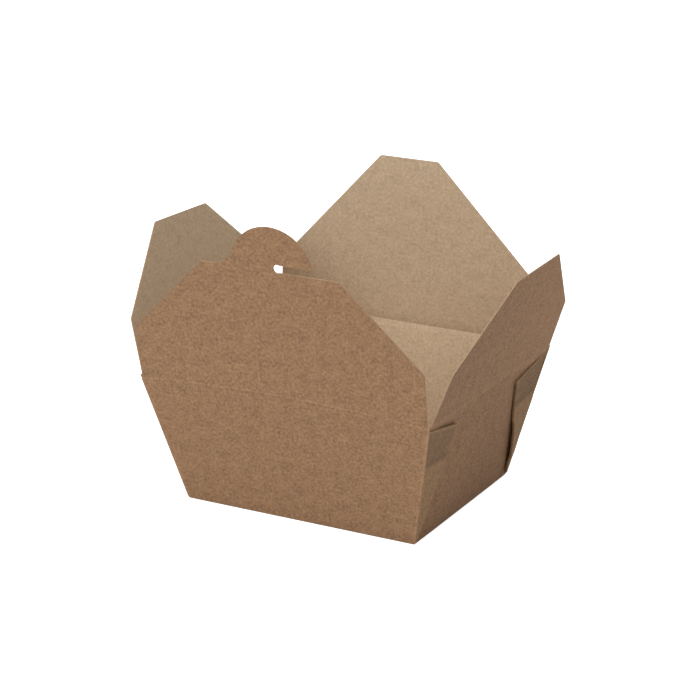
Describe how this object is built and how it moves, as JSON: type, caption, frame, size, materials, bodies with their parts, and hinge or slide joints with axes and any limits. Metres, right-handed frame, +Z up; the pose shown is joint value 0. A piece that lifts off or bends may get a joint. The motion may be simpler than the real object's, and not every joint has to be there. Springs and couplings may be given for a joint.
{
  "type": "takeaway box",
  "caption": "Small open kraft takeaway food box: flared walls, doubled corner webs on the end walls and lid flaps on all four sides, the front one with a round locking hook.",
  "frame": {"origin": "middle of the base's underside, on the surface it stands on", "axes": "+X along the front wall to the right, -Y out of the front wall, +Z up"},
  "size_m": [0.1733, 0.1308, 0.1361],
  "materials": {
    "kraft_board": "uncoated brown kraft, matt"
  },
  "bodies": {
    "tray": {"tray": "kraft_board"},
    "front_flap": {"front_flap": "kraft_board"},
    "back_flap": {"back_flap": "kraft_board"},
    "right_flap": {"right_flap": "kraft_board"},
    "left_flap": {"left_flap": "kraft_board"}
  },
  "joints": [
    {"name": "front_crease", "type": "hinge", "parent": "tray", "child": "front_flap", "pos_m": [0, -0.05977, 0.05949], "axis": [-1, 0, 0], "range_deg": [-80, 97.6]},
    {"name": "back_crease", "type": "hinge", "parent": "tray", "child": "back_flap", "pos_m": [0, 0.05956, 0.05869], "axis": [1, 0, 0], "range_deg": [-87, 87.5]},
    {"name": "right_crease", "type": "hinge", "parent": "tray", "child": "right_flap", "pos_m": [0.06793, 0, 0.0576], "axis": [0, -1, 0], "range_deg": [-68, 110.9]},
    {"name": "left_crease", "type": "hinge", "parent": "tray", "child": "left_flap", "pos_m": [-0.06793, 0, 0.0576], "axis": [0, 1, 0], "range_deg": [-72, 107.4]}
  ]
}
